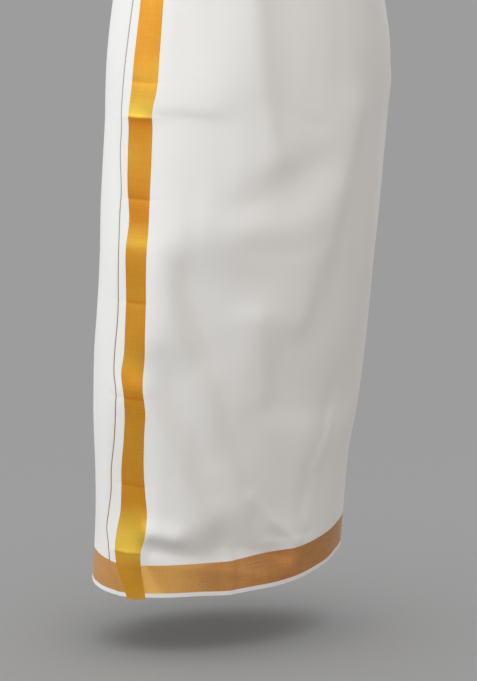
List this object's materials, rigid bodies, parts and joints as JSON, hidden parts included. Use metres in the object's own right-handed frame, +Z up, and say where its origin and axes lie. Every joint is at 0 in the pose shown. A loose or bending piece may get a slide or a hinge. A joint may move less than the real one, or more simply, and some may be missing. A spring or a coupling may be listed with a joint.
{
  "type": "worn wrap dhoti",
  "caption": "Ankle-length white cotton wrap dhoti as worn, wound round an open waist, with gold woven bands at the hem and down the flap's end.",
  "frame": {"origin": "middle of the open waist, at the height of the waist roll, where the wearer holds the cloth", "axes": "+Z up, -Y the wearer's front, +X the wearer's left"},
  "size_m": [0.4241, 0.3094, 0.9478],
  "materials": {
    "white_cotton": "plain woven, soft matt",
    "gold_zari": "woven metallic thread, satin",
    "pale_gold_zari": "woven metallic thread, satin"
  },
  "bodies": {
    "root": {"waist_roll": "white_cotton", "front_flap_cloth": "white_cotton", "left_side_cloth": "white_cotton", "back_cloth": "white_cotton", "right_side_cloth": "white_cotton", "under_front_cloth": "white_cotton", "flap_margin_cloth": "white_cotton", "flap_end_band": "gold_zari", "front_flap_hem_band": "pale_gold_zari", "left_side_hem_band": "pale_gold_zari", "back_hem_band": "pale_gold_zari", "right_side_hem_band": "pale_gold_zari", "under_front_hem_band": "pale_gold_zari", "flap_margin_hem_band": "pale_gold_zari", "front_flap_selvedge": "white_cotton", "left_side_selvedge": "white_cotton", "back_selvedge": "white_cotton", "right_side_selvedge": "white_cotton", "under_front_selvedge": "white_cotton", "flap_margin_selvedge": "white_cotton"}
  },
  "joints": []
}
